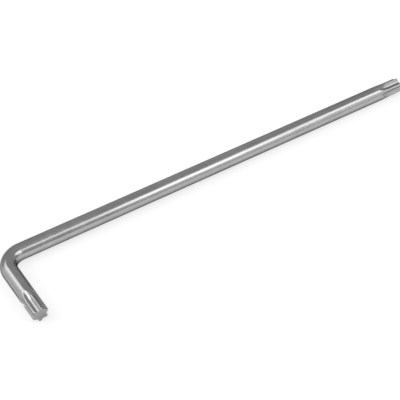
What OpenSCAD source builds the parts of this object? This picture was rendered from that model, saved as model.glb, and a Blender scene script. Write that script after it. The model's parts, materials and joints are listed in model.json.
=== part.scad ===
// L-shaped star key: one bent round bar with a six-lobed star formed on each end.
// It lies flat on z = 0, long arm along +X, short arm along -Y, and the origin is
// at the middle of the underside of its box. All lengths are in millimetres.

/* [Bar] */
// Diameter of the round bar, which the star's lobes are flush with
bar_d = 5.5; // [5.2:0.05:6.2]
// Overall length of the long arm, from the outside of the bend to the tip
long_reach = 160; // [100:1:240]
// Overall length of the short arm, from the outside of the bend to the tip
short_reach = 30; // [24:0.5:50]
// Radius of the bend, on the centreline of the bar
bend_r = 6.6; // [4.5:0.1:12]

/* [Star] */
// Width across opposite valleys
valley_d = 3.96; // [3.7:0.02:4.2]
// Radius of each rounded lobe
lobe_r = 0.44; // [0.34:0.02:0.52]
// Length of the star at its full depth
star_l = 4.7; // [3:0.1:8]
// Length over which a flute rises from its full depth to the skin of the bar
runout_l = 4.4; // [3:0.1:7]
// Plain length left between the flutes' points and the arm
root_l = 0.4; // [0.1:0.1:2]
// Length of the chamfer round each end
chamfer_l = 0.3; // [0.15:0.05:1.2]
// Depth of the chamfer, measured inwards from the lobes
chamfer_depth = 0.14; // [0.1:0.02:0.5]
// How much the star slims towards its end, on the radius, so that it enters a recess
star_draft = 0.02; // [0.01:0.005:0.05]
// Turn of the long end's first lobe, up from the direction away from the short arm
long_star_turn = 23; // [0:1:59]
// Turn of the short end's first lobe, up from the direction of the long arm
short_star_turn = 19; // [0:1:59]

/* [Finish of the cuts] */
// How far the lobe circles reach past the bar, so that its own skin caps each lobe
crest_rise = 0.03; // [0.02:0.005:0.05]
// How far each flute bites into the lobes beside it, so that the two rounds cross
flute_bite = 0.005; // [0.003:0.001:0.01]
// How far the cutting shapes run past the faces that they cut
overrun = 1; // [0.5:0.1:3]
// Outer width of a cutting shape, as a share of the angle from flute to lobe
gap_share = 0.93; // [0.9:0.01:0.97]

/* [Hidden] */

$fn = 96;

// A star drive of this kind always has six lobes
lobe_count = 6;
lobe_step = 360 / lobe_count;
half_step = lobe_step / 2;

bar_r = bar_d / 2;
valley_r = valley_d / 2;
lobe_centre_r = bar_r + crest_rise - lobe_r;

// The flute is the circle that rests on the valley and meets what it leaves of the lobes
bitten_lobe_r = lobe_r - flute_bite;
flute_over = pow(lobe_centre_r, 2) + pow(valley_r, 2) - pow(bitten_lobe_r, 2)
    - 2 * lobe_centre_r * valley_r * cos(half_step);
flute_under = 2 * (lobe_centre_r * cos(half_step) + bitten_lobe_r - valley_r);
flute_r = flute_over / flute_under;
flute_centre_r = valley_r + flute_r;
gap_outer_r = flute_centre_r + overrun;
gap_outer_turn = gap_share * half_step;

// The run-out is the track of a wheel that leaves the bar's skin after runout_l
flute_depth = bar_r - valley_r;
wheel_r = (pow(runout_l, 2) + pow(flute_depth, 2)) / (2 * flute_depth);
wheel_centre_r = valley_r + wheel_r;
wheel_exit_turn = asin(runout_l / wheel_r);
wheel_sweep = 2 * wheel_exit_turn;

tip_l = root_l + runout_l + star_l;
star_root_z = root_l + runout_l;
star_end_r = bar_r - star_draft;

// Where the two arms lie, square to each other, and how long their plain round stretches are
bend_turn = 90;
axis_z = bar_r;
long_axis_y = short_reach / 2 - bar_r;
short_axis_x = bar_r - long_reach / 2;
bend_centre_x = short_axis_x + bend_r;
bend_centre_y = long_axis_y - bend_r;
long_arm_l = long_reach - bar_r - bend_r - tip_l;
short_arm_l = short_reach - bar_r - bend_r - tip_l;

// Carries a shape that stands on z = 0 to the long arm's axis, with z along the arm
module on_long_axis(along) {
    translate([bend_centre_x + along, long_axis_y, axis_z])
        rotate([90, 0, 90])
            children();
}

// The same for the short arm, which leaves the bend towards -Y
module on_short_axis(along) {
    translate([short_axis_x, bend_centre_y - along, axis_z])
        rotate([90, 0, 0])
            children();
}

module round_bar(length) {
    cylinder(d = bar_d, h = length);
}

// Outline of the space between two lobes, with the flute on the +X side
module gap_profile() {
    lobe_centres = [for (side = [-1, 1])
        lobe_centre_r * [cos(half_step), side * sin(half_step)]];
    outer_corners = [for (side = [-1, 1])
        gap_outer_r * [cos(gap_outer_turn), side * sin(gap_outer_turn)]];
    translate([flute_centre_r, 0])
        circle(r = flute_r);
    difference() {
        polygon([
            [flute_centre_r, 0],
            lobe_centres[0],
            outer_corners[0],
            outer_corners[1],
            lobe_centres[1]
        ]);
        for (centre = lobe_centres)
            translate(centre)
                circle(r = lobe_r);
    }
}

// Straight stretch of one flute, out through the end of the bar
module flute_run() {
    translate([0, 0, star_root_z])
        linear_extrude(height = star_l + overrun)
            gap_profile();
}

// Stretch of one flute that climbs to the skin along the wheel's track
module flute_runout() {
    translate([wheel_centre_r, 0, star_root_z])
        rotate([-90, 0, 180])
            rotate_extrude(angle = wheel_sweep)
                translate([wheel_centre_r, 0])
                    mirror([1, 0])
                        gap_profile();
}

// Chamfered end of the bar before the star is formed
module tip_blank() {
    rotate_extrude()
        polygon([
            [0, 0],
            [bar_r, 0],
            [star_end_r, tip_l - chamfer_l],
            [star_end_r - chamfer_depth, tip_l],
            [0, tip_l]
        ]);
}

// One star end, standing on its root, with a lobe at the angle given by turn
module star_tip(turn) {
    difference() {
        tip_blank();
        for (i = [0 : lobe_count - 1])
            rotate([0, 0, turn + half_step + i * lobe_step]) {
                flute_run();
                flute_runout();
            }
    }
}

module long_arm() {
    color("silver")
        on_long_axis(0)
            round_bar(long_arm_l);
}

module bend() {
    color("silver")
        translate([bend_centre_x, bend_centre_y, axis_z])
            rotate([0, 0, bend_turn])
                rotate_extrude(angle = bend_turn)
                    translate([bend_r, 0])
                        circle(d = bar_d);
}

module short_arm() {
    color("silver")
        on_short_axis(0)
            round_bar(short_arm_l);
}

module long_star_tip() {
    color("gainsboro")
        on_long_axis(long_arm_l)
            star_tip(long_star_turn);
}

module short_star_tip() {
    color("gainsboro")
        on_short_axis(short_arm_l)
            star_tip(short_star_turn);
}

long_arm();
bend();
short_arm();
long_star_tip();
short_star_tip();
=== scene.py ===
"""A star key: one bent bar of satin-plated steel with a six-lobed star formed on each end.

The skin is drawn in five pieces, one for each node of the frame, which run on into each other
without a step. A point on it is told by its distance along the bar and by its angle round the
bar, which is 0 on the outside of the bend and a quarter turn on top. Lengths are in metres.
"""
import json
from math import atan2, cos, hypot, pi, radians, sin, sqrt

import bmesh
import bpy
from mathutils import Matrix, Vector


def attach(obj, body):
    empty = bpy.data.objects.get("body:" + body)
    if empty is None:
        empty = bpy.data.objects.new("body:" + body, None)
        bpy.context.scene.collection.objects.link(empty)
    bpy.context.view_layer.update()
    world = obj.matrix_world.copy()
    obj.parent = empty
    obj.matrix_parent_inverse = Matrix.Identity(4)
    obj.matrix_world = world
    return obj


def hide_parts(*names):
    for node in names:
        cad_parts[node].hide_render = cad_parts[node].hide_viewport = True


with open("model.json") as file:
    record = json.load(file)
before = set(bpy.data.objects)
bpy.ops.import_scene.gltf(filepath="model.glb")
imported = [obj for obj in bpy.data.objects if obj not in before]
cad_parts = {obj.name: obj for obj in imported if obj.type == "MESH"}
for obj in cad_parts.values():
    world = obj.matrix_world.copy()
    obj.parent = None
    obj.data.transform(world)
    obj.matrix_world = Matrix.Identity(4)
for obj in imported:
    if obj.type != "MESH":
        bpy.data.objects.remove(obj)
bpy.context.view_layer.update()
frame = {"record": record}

MM = 0.001
UP = Vector((0, 0, 1))
ACROSS = Vector((1, 0, 0))
AWAY = Vector((0, 1, 0))
QUARTER_TURN = pi / 2

# The bar, from the frame's mounts
mounts = {mount["name"]: mount for mount in frame["record"]["mounts"]}
long_shank = mounts["long_shank"]
short_shank = mounts["short_shank"]
BAR_R = long_shank["dims"]["r_mm"] * MM
LONG_ARM_L = long_shank["dims"]["length_mm"] * MM
SHORT_ARM_L = short_shank["dims"]["length_mm"] * MM
AXIS_Z = long_shank["pos_m"][2]
LONG_AXIS_Y = long_shank["pos_m"][1]
SHORT_AXIS_X = short_shank["pos_m"][0]
BEND_CENTRE = Vector((
    long_shank["pos_m"][0] - LONG_ARM_L / 2,
    short_shank["pos_m"][1] + SHORT_ARM_L / 2,
    AXIS_Z,
))
BEND_R = BEND_CENTRE.x - SHORT_AXIS_X
BEND_L = BEND_R * QUARTER_TURN
LONG_TIP_L = mounts["long_end_face"]["pos_m"][0] - BEND_CENTRE.x - LONG_ARM_L
SHORT_TIP_L = BEND_CENTRE.y - SHORT_ARM_L - mounts["short_end_face"]["pos_m"][1]
# How much the bar flattens across the middle of the bend, as a share of its radius
FLATTENING_SHARE = 0.015

# The star
LOBES = 6
HALF_STEP = pi / LOBES
VALLEY_R = 1.98 * MM
LOBE_R = 0.44 * MM
STAR_L = 4.7 * MM
RUNOUT_L = 4.4 * MM
STAR_DRAFT = 0.02 * MM
CHAMFER_L = 0.3 * MM
CHAMFER_DEPTH = 0.14 * MM
LONG_STAR_TURN = radians(23)
SHORT_STAR_TURN = pi - radians(19)
# Roundings that tumbling and plating leave on the star's lips and on its end edge
LIP_ROUND = 0.08 * MM
END_ROUND = 0.06 * MM
# How far from a lip or an end edge the finish is worn
WEAR_REACH = 0.12 * MM

# The flute is the round that rests on the valley and meets the lobes beside it
LOBE_CENTRE = BAR_R - LOBE_R
FLUTE_R = (
    (LOBE_CENTRE ** 2 + VALLEY_R ** 2 - LOBE_R ** 2 - 2 * LOBE_CENTRE * VALLEY_R * cos(HALF_STEP))
    / (2 * (LOBE_CENTRE * cos(HALF_STEP) + LOBE_R - VALLEY_R))
)
FLUTE_CENTRE = VALLEY_R + FLUTE_R
FLUTE_DEPTH = BAR_R - VALLEY_R
# Its run-out is the track of a wheel that leaves the skin after the run-out's length
WHEEL_R = (RUNOUT_L ** 2 + FLUTE_DEPTH ** 2) / (2 * FLUTE_DEPTH)
WHEEL_CENTRE = VALLEY_R + WHEEL_R

# How finely the skin is drawn
BAR_SIDES = 96
LONG_ARM_RINGS = 48
SHORT_ARM_RINGS = 6
BEND_RINGS = 64
OUTLINE_STEPS = 90
FLUTE_STEPS = 14
LAND_STEPS = 8
LEAST_FLUTE = radians(0.8)
LEAST_LAND = radians(2)
FACE_RINGS = 5
EDGE_RINGS = 5
CHAMFER_RINGS = 4
STAR_RINGS = 10
RUNOUT_RINGS = 60
SHARP_TURN = radians(60)

# The camera, at the photograph's viewing angle
AIM = Vector((-11.4 * MM, 0.65 * MM, AXIS_Z))
CAMERA_DISTANCE = 386.5 * MM
CAMERA_AZIMUTH = radians(30.56)
CAMERA_ELEVATION = radians(43.16)
CAMERA_ROLL = radians(-2.37)
CAMERA_LENS = 106.5
CAMERA_CLIP = 5 * MM

# The steel's finish: its tone and roughness, its tint where it is seen at a slant, how far each kind
# of mark and the worn lips change it, and how much darker and rougher the end faces are made
STEEL_TONE = 0.43
STEEL_ROUGHNESS = 0.21
RIM_TINT = 0.2
STREAK_TONE = 0.012
CLOUD_TONE = 0.02
MOTTLE_TONE = 0.012
SCRATCH_TONE = 0.025
WEAR_TONE = 0.08
END_FACE_TONE = -0.06
CLOUD_ROUGHNESS = 0.03
MOTTLE_ROUGHNESS = 0.02
SCRATCH_ROUGHNESS = 0.05
WEAR_ROUGHNESS = -0.05
END_FACE_ROUGHNESS = 0.1
# Lumps of each kind of mark in a millimetre, and how far it is drawn out along the bar
CLOUDS = 0.16
MOTTLES = 0.9
STREAKS = 2.2
DRAW_LINES = 9
GRAINS = 14
SCRATCHES = 0.9
STREAK_STRETCH = 10
DRAW_LINE_STRETCH = 32
SCRATCH_STRETCH = 14
SCRATCH_SLANT = radians(24)
# Height of the draw lines, grain and scratches
RELIEF = 0.003 * MM
GRAIN_SHARE = 0.4
SCRATCH_SHARE = 0.3
# Range in which most of the noise lies, and the one in which a scratch rises from none to full
NOISE_LOW = 0.3
NOISE_HIGH = 0.7
SCRATCH_LOW = 0.74
SCRATCH_HIGH = 0.78
# How many layers of finer noise the marks have
MARK_DETAIL = 2
GRAIN_DETAIL = 1
SCRATCH_DETAIL = 0

# The lamps, whose levels are 1 at white
WORLD_LEVEL = 0.44
# Lamps that stand off each arm by the reach: name, place along the arm, turn up from the floor beyond it
# in degrees, span along the arm, width and level
LAMP_REACH = 0.48
LONG_ARM_LAMPS = (
    ("far_softbox", 0.43, 115, 0.30, 0.25, 1.3),
    ("middle_softbox", 0.185, 130, 0.16, 0.25, 1.9),
    ("bend_softbox", 0.03, 126, 0.10, 0.15, 1.42),
    ("right_screen", 0.35, 138, 0.42, 0.65, 0.5),
    ("back_screen", 0.19, 24, 0.22, 0.22, 0.14),
)
SHORT_ARM_LAMPS = (
    ("left_softbox", 0.42, 113, 0.50, 0.26, 0.9),
    ("left_screen", 0.42, 138, 0.50, 0.65, 0.5),
)
# Square lamps that fill in the shadows: name, place and level
FILL_SIZE = 0.5
FILL_LAMPS = (
    ("back_fill", (-0.7, 0.27, 0.6), 2.6),
    ("top_fill", (-0.2, -0.1, 1.0), 1.7),
)

# The floor
FLOOR_COLOUR = 0.35
FLOOR_GLOW = 0.7
FLOOR_HALF = 40.0
# How far from the key the glow that the metal shows is darkened, as painted shade
FLOOR_SHADE_REACH = 6 * MM


def star_radius(angle):
    """Radius of the full-depth star at an angle from the middle of a flute, up to the lobe's crest."""
    lobe_way = Vector((LOBE_CENTRE * cos(HALF_STEP) - FLUTE_CENTRE, LOBE_CENTRE * sin(HALF_STEP)))
    touch = Vector((FLUTE_CENTRE, 0)) + FLUTE_R * lobe_way.normalized()
    if angle < atan2(touch.y, touch.x):
        return FLUTE_CENTRE * cos(angle) - sqrt(FLUTE_R ** 2 - (FLUTE_CENTRE * sin(angle)) ** 2)
    lean = HALF_STEP - angle
    return LOBE_CENTRE * cos(lean) + sqrt(LOBE_R ** 2 - (LOBE_CENTRE * sin(lean)) ** 2)


def flute_outline(climb):
    """Half a flute as (angle, radius) pairs, at a distance past the start of its run-out."""
    pairs = []
    for step in range(OUTLINE_STEPS + 1):
        angle = HALF_STEP * step / OUTLINE_STEPS
        radius = star_radius(angle)
        wheel = WHEEL_CENTRE - radius * cos(angle)
        x = WHEEL_CENTRE - sqrt(wheel ** 2 - climb ** 2)
        y = radius * sin(angle)
        pairs.append((atan2(y, x), hypot(x, y)))
    return pairs


def outline_radius(pairs, angle):
    """Radius of half a flute at an angle, or one well past the bar where the flute has none."""
    for (angle_a, radius_a), (angle_b, radius_b) in zip(pairs, pairs[1:]):
        if angle <= angle_b:
            return radius_a + (radius_b - radius_a) * (angle - angle_a) / (angle_b - angle_a)
    return 2 * BAR_R


def lip_angle(pairs, limit):
    """Angle from the middle of a flute at which it reaches the skin, whose radius is the limit."""
    if pairs[0][1] >= limit:
        return 0.0
    for (angle_a, radius_a), (angle_b, radius_b) in zip(pairs, pairs[1:]):
        if radius_b >= limit:
            return angle_a + (angle_b - angle_a) * (limit - radius_a) / (radius_b - radius_a)
    return HALF_STEP


def skin_limit(depth, tip_l):
    """Radius of the slightly tapered and chamfered skin at a depth behind the end face."""
    tapered = BAR_R - STAR_DRAFT * (1 - depth / tip_l)
    return tapered - CHAMFER_DEPTH * max(0.0, 1 - depth / CHAMFER_L)


def edge_loss(depth):
    """How much the rounded edge of the end face takes off the radius."""
    rim = max(0.0, 1 - depth / END_ROUND)
    return END_ROUND * (1 - sqrt(1 - rim ** 2))


def soft_least(a, b, width):
    """The lesser of two lengths, with the corner between them rounded over a width."""
    share = min(1.0, max(0.0, (1 + (b - a) / width) / 2))
    return b + (a - b) * share - width * share * (1 - share)


def gap_angles(lip):
    """Angles from the middle of a flute, from one lobe's crest up to the next, close at the lips."""
    lip = min(max(lip, LEAST_FLUTE), HALF_STEP - LEAST_LAND)
    flute = [lip * sin(QUARTER_TURN * step / FLUTE_STEPS) for step in range(FLUTE_STEPS)]
    land = [lip + (HALF_STEP - lip) * step / LAND_STEPS for step in range(LAND_STEPS + 1)]
    half = flute + land
    return [-angle for angle in reversed(half)] + half[1:-1]


def star_outline(depth, tip_l, turn):
    """(angle, radius, wear, end face share) of each point round the bar, at a depth behind the end face.
    """
    pairs = flute_outline(max(0.0, depth - STAR_L))
    limit = skin_limit(depth, tip_l)
    angles = gap_angles(lip_angle(pairs, limit))
    cut_share = max(0.0, 1 - depth / END_ROUND)
    outline = []
    for gap in range(LOBES):
        middle = turn + HALF_STEP * (2 * gap + 1)
        for angle in angles:
            flute = outline_radius(pairs, abs(angle))
            radius = soft_least(flute, limit, LIP_ROUND) - edge_loss(depth)
            wear = max(0.0, 1 - min(abs(flute - limit), depth) / WEAR_REACH)
            outline.append((middle + angle, radius, wear, cut_share))
    return outline


def star_depths(tip_l):
    """Depths of a tip's rings behind its end face, close together where the shape changes."""
    depths = [END_ROUND * (1 - cos(QUARTER_TURN * ring / EDGE_RINGS)) for ring in range(EDGE_RINGS)]
    stretches = (
        (END_ROUND, CHAMFER_L, CHAMFER_RINGS),
        (CHAMFER_L, STAR_L, STAR_RINGS),
        (STAR_L, STAR_L + RUNOUT_L, RUNOUT_RINGS),
    )
    for start, end, rings in stretches:
        depths += [start + (end - start) * ring / rings for ring in range(rings)]
    return depths + [STAR_L + RUNOUT_L, tip_l]


# Places along the bar: the centre of a ring, the way out of the bend there, and the distance along the
# bar from the start of the long arm
def long_place(along):
    return Vector((BEND_CENTRE.x + along, LONG_AXIS_Y, AXIS_Z)), AWAY, along


def short_place(along):
    return Vector((SHORT_AXIS_X, BEND_CENTRE.y - along, AXIS_Z)), -ACROSS, -BEND_L - along


def bend_place(turn):
    out = Vector((-cos(turn), sin(turn), 0))
    return BEND_CENTRE + BEND_R * out, out, BEND_R * turn - BEND_L


class Skin:
    """Rings of points round the bar, lofted into one closed piece."""

    def __init__(self):
        self.points = []
        self.places = []
        self.wear = []
        self.cut_shares = []
        self.sides = 0

    def ring(self, place, outline):
        """Adds a ring at a place; its outline holds (angle, radius, wear, end face share) tuples."""
        centre, out, along = place
        self.sides = len(outline)
        for angle, radius, wear, cut_share in outline:
            y = radius * cos(angle)
            z = radius * sin(angle)
            self.points.append(centre + y * out + z * UP)
            self.places += [along, y, z]
            self.wear.append(wear)
            self.cut_shares.append(cut_share)

    def faces(self):
        """Quads between the rings, and a cap on each end."""
        last = len(self.points) - self.sides
        quads = []
        for start in range(0, last, self.sides):
            for side in range(self.sides):
                following = (side + 1) % self.sides
                ahead = start + self.sides
                quads.append((start + side, ahead + side, ahead + following, start + following))
        return quads + [range(self.sides), range(last, last + self.sides)]

    def mesh(self, name):
        """The skin as a mesh, with what its material reads at each point."""
        mesh = bpy.data.meshes.new(name)
        mesh.from_pydata(self.points, [], self.faces())
        shape = bmesh.new()
        shape.from_mesh(mesh)
        bmesh.ops.recalc_face_normals(shape, faces=shape.faces)
        shape.to_mesh(mesh)
        shape.free()
        mesh.shade_smooth()
        mesh.set_sharp_from_angle(angle=SHARP_TURN)
        mesh.attributes.new("bar_place", "FLOAT_VECTOR", "POINT").data.foreach_set("vector", self.places)
        mesh.attributes.new("lip_wear", "FLOAT", "POINT").data.foreach_set("value", self.wear)
        mesh.attributes.new("cut_share", "FLOAT", "POINT").data.foreach_set("value", self.cut_shares)
        return mesh


def round_outline(radius_at):
    """A ring of the plain bar, whose radius is given for each angle."""
    angles = [2 * pi * side / BAR_SIDES for side in range(BAR_SIDES)]
    return [(angle, radius_at(angle), 0.0, 0.0) for angle in angles]


def arm_skin(place, length, rings):
    """A straight round stretch of the bar."""
    skin = Skin()
    for ring in range(rings + 1):
        skin.ring(place(length * ring / rings), round_outline(lambda angle: BAR_R))
    return skin


def bend_skin():
    """The elbow, which flattens a little towards its middle."""
    skin = Skin()
    for ring in range(BEND_RINGS + 1):
        turn = QUARTER_TURN * ring / BEND_RINGS
        flat = FLATTENING_SHARE * sin(2 * turn) ** 2
        skin.ring(bend_place(turn), round_outline(lambda angle: BAR_R * (1 - flat * cos(angle) ** 2)))
    return skin


def star_skin(place, arm_l, tip_l, turn):
    """A star end, from the middle of its end face back to the arm."""
    skin = Skin()
    face = star_outline(0.0, tip_l, turn)
    for ring in range(1, FACE_RINGS):
        share = ring / FACE_RINGS
        inner = [(angle, radius * share, 0.0, 1.0) for angle, radius, _, _ in face]
        skin.ring(place(arm_l + tip_l), inner)
    for depth in star_depths(tip_l):
        skin.ring(place(arm_l + tip_l - depth), star_outline(depth, tip_l, turn))
    return skin


def add_node(tree, kind, inputs, **settings):
    """Adds a shader node; each input is another node's output or a plain value."""
    node = tree.nodes.new("ShaderNode" + kind)
    for name, value in settings.items():
        setattr(node, name, value)
    for name, value in inputs.items():
        if isinstance(value, bpy.types.NodeSocket):
            tree.links.new(value, node.inputs[name])
        else:
            node.inputs[name].default_value = value
    return node


def grey(level):
    return level, level, level, 1


def scaled(tree, value, share):
    return add_node(tree, "Math", {0: value, 1: share}, operation="MULTIPLY").outputs[0]


def total(tree, *values):
    result = values[0]
    for value in values[1:]:
        result = add_node(tree, "Math", {0: result, 1: value}, operation="ADD").outputs[0]
    return result


def noise(tree, place, lumps, stretch=1, detail=MARK_DETAIL):
    """Noise over the bar, in lumps in a millimetre, drawn out along the bar."""
    drawn = add_node(tree, "VectorMath", {0: place, 1: (1 / stretch, 1, 1)}, operation="MULTIPLY")
    inputs = {"Vector": drawn.outputs[0], "Scale": lumps, "Detail": detail}
    return add_node(tree, "TexNoise", inputs).outputs[0]


def spread(tree, value, reach):
    """Takes noise from its usual range to the range from minus reach to reach."""
    inputs = {
        "Value": value,
        "From Min": NOISE_LOW,
        "From Max": NOISE_HIGH,
        "To Min": -reach,
        "To Max": reach,
    }
    return add_node(tree, "MapRange", inputs).outputs[0]


def skin_value(tree, name, output):
    """What the skin holds at each point under a name."""
    return add_node(tree, "Attribute", {}, attribute_name=name).outputs[output]


def bar_place(tree):
    """Place on the bar in millimetres: along it, out of the bend, and up."""
    inputs = {0: skin_value(tree, "bar_place", "Vector"), "Scale": 1 / MM}
    return add_node(tree, "VectorMath", inputs, operation="SCALE").outputs[0]


def scratch_marks(tree, place):
    """Stray slanted scratches, 1 on a scratch and 0 elsewhere."""
    inputs = {"Vector": place, "Angle": SCRATCH_SLANT}
    turned = add_node(tree, "VectorRotate", inputs, rotation_type="Z_AXIS").outputs[0]
    lines = noise(tree, turned, SCRATCHES, SCRATCH_STRETCH, SCRATCH_DETAIL)
    limits = {"Value": lines, "From Min": SCRATCH_LOW, "From Max": SCRATCH_HIGH}
    return add_node(tree, "MapRange", limits).outputs[0]


def steel_marks(tree):
    """The marks on the steel, each as the output of a node."""
    place = bar_place(tree)
    return {
        "clouds": noise(tree, place, CLOUDS),
        "mottles": noise(tree, place, MOTTLES),
        "streaks": noise(tree, place, STREAKS, STREAK_STRETCH),
        "draw_lines": noise(tree, place, DRAW_LINES, DRAW_LINE_STRETCH),
        "grains": noise(tree, place, GRAINS, detail=GRAIN_DETAIL),
        "scratches": scratch_marks(tree, place),
        "wear": skin_value(tree, "lip_wear", "Fac"),
        "cut": skin_value(tree, "cut_share", "Fac"),
    }


def steel_tone(tree, marks):
    return total(
        tree,
        STEEL_TONE,
        spread(tree, marks["clouds"], CLOUD_TONE),
        spread(tree, marks["mottles"], MOTTLE_TONE),
        spread(tree, marks["streaks"], STREAK_TONE),
        scaled(tree, marks["scratches"], SCRATCH_TONE),
        scaled(tree, marks["wear"], WEAR_TONE),
        # The end faces are made darker by a set amount
        scaled(tree, marks["cut"], END_FACE_TONE),
    )


def steel_roughness(tree, marks):
    return total(
        tree,
        STEEL_ROUGHNESS,
        spread(tree, marks["clouds"], CLOUD_ROUGHNESS),
        spread(tree, marks["mottles"], MOTTLE_ROUGHNESS),
        scaled(tree, marks["scratches"], SCRATCH_ROUGHNESS),
        scaled(tree, marks["wear"], WEAR_ROUGHNESS),
        scaled(tree, marks["cut"], END_FACE_ROUGHNESS),
    )


def steel_relief(tree, marks):
    """Draw lines and grain that stand up, and scratches that lie deeper."""
    height = total(
        tree,
        marks["draw_lines"],
        scaled(tree, marks["grains"], GRAIN_SHARE),
        scaled(tree, marks["scratches"], -SCRATCH_SHARE),
    )
    return add_node(tree, "Bump", {"Distance": RELIEF, "Height": height}).outputs[0]


def plated_steel(name):
    """Satin plating over a drawn bar, with clouds, stray scratches, worn lips and darker, rougher end
    faces.
    """
    material = bpy.data.materials.new(name)
    material.use_nodes = True
    tree = material.node_tree
    marks = steel_marks(tree)
    shader = tree.nodes["Principled BSDF"]
    shader.inputs["Metallic"].default_value = 1
    shader.inputs["Specular Tint"].default_value = grey(RIM_TINT)
    tree.links.new(steel_tone(tree, marks), shader.inputs["Base Color"])
    tree.links.new(steel_roughness(tree, marks), shader.inputs["Roughness"])
    tree.links.new(steel_relief(tree, marks), shader.inputs["Normal"])
    return material


def add_piece(skin, node, material):
    """Puts a skin in place of its node."""
    name = node + "_skin"
    mesh = skin.mesh(name)
    mesh.materials.append(material)
    piece = bpy.data.objects.new(name, mesh)
    bpy.context.scene.collection.objects.link(piece)
    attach(piece, "root")
    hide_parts(node)


def add_key():
    bar_steel = plated_steel("bar_steel")
    star_steel = plated_steel("star_steel")
    long_tip = star_skin(long_place, LONG_ARM_L, LONG_TIP_L, LONG_STAR_TURN)
    short_tip = star_skin(short_place, SHORT_ARM_L, SHORT_TIP_L, SHORT_STAR_TURN)
    add_piece(arm_skin(long_place, LONG_ARM_L, LONG_ARM_RINGS), "long_arm", bar_steel)
    add_piece(bend_skin(), "bend", bar_steel)
    add_piece(arm_skin(short_place, SHORT_ARM_L, SHORT_ARM_RINGS), "short_arm", bar_steel)
    add_piece(long_tip, "long_star_tip", star_steel)
    add_piece(short_tip, "short_star_tip", star_steel)


def add_camera():
    view_back = Vector((
        -sin(CAMERA_AZIMUTH) * cos(CAMERA_ELEVATION),
        -cos(CAMERA_AZIMUTH) * cos(CAMERA_ELEVATION),
        sin(CAMERA_ELEVATION),
    ))
    camera = bpy.data.objects.new("camera", bpy.data.cameras.new("camera"))
    camera.data.lens = CAMERA_LENS
    camera.data.clip_start = CAMERA_CLIP
    camera.location = AIM + CAMERA_DISTANCE * view_back
    facing = view_back.to_track_quat("Z", "Y").to_matrix() @ Matrix.Rotation(CAMERA_ROLL, 3, "Z")
    camera.rotation_euler = facing.to_euler()
    bpy.context.scene.collection.objects.link(camera)
    bpy.context.scene.camera = camera


def floor_paint():
    """White paint with a glow for the camera and the metal; the glow the metal shows is darkened close
    to the key by ambient occlusion, as painted shade.
    """
    material = bpy.data.materials.new("floor_paint")
    material.use_nodes = True
    tree = material.node_tree
    tree.nodes.clear()
    path = add_node(tree, "LightPath", {}).outputs
    # Painted shade: ambient occlusion darkens the glow that the metal shows close to the key
    openness = add_node(tree, "AmbientOcclusion", {"Distance": FLOOR_SHADE_REACH}).outputs["AO"]
    mirrored = scaled(tree, path["Is Glossy Ray"], openness)
    seen = total(tree, path["Is Camera Ray"], path["Is Transmission Ray"], mirrored)
    glow = add_node(tree, "Emission", {"Strength": scaled(tree, seen, FLOOR_GLOW)})
    paint = add_node(tree, "BsdfDiffuse", {"Color": grey(FLOOR_COLOUR)})
    both = add_node(tree, "AddShader", {0: paint.outputs[0], 1: glow.outputs[0]})
    add_node(tree, "OutputMaterial", {"Surface": both.outputs[0]})
    return material


def add_floor():
    signs = ((-1, -1), (1, -1), (1, 1), (-1, 1))
    corners = [(x * FLOOR_HALF, y * FLOOR_HALF, 0) for x, y in signs]
    mesh = bpy.data.meshes.new("floor")
    mesh.from_pydata(corners, [], [range(len(corners))])
    mesh.materials.append(floor_paint())
    floor = bpy.data.objects.new("floor", mesh)
    bpy.context.scene.collection.objects.link(floor)


def add_lamp(name, place, aim, span_axis, span, width, level):
    """A flat lamp that faces a point, with its span along an axis and a level that is 1 at white."""
    data = bpy.data.lights.new(name, "AREA")
    data.shape = "RECTANGLE"
    data.size = span
    data.size_y = width
    data.energy = level * pi * span * width
    lamp = bpy.data.objects.new(name, data)
    back = (place - aim).normalized()
    side = (span_axis - span_axis.dot(back) * back).normalized()
    turn = Matrix((side, back.cross(side), back)).transposed()
    lamp.matrix_world = Matrix.Translation(place) @ turn.to_4x4()
    bpy.context.scene.collection.objects.link(lamp)


def add_world():
    world = bpy.data.worlds.new("studio")
    world.use_nodes = True
    background = world.node_tree.nodes["Background"]
    background.inputs["Color"].default_value = grey(1)
    background.inputs["Strength"].default_value = WORLD_LEVEL
    bpy.context.scene.world = world


def add_lamps():
    for name, x, turn, span, width, level in LONG_ARM_LAMPS:
        foot = Vector((x, LONG_AXIS_Y, AXIS_Z))
        place = foot + LAMP_REACH * Vector((0, cos(radians(turn)), sin(radians(turn))))
        add_lamp(name, place, foot, ACROSS, span, width, level)
    for name, y, turn, span, width, level in SHORT_ARM_LAMPS:
        foot = Vector((SHORT_AXIS_X, y, AXIS_Z))
        place = foot + LAMP_REACH * Vector((cos(radians(turn)), 0, sin(radians(turn))))
        add_lamp(name, place, foot, AWAY, span, width, level)
    for name, place, level in FILL_LAMPS:
        add_lamp(name, Vector(place), Vector(), ACROSS, FILL_SIZE, FILL_SIZE, level)


add_camera()
add_key()
add_floor()
add_world()
add_lamps()
bpy.context.scene.view_settings.view_transform = "Standard"
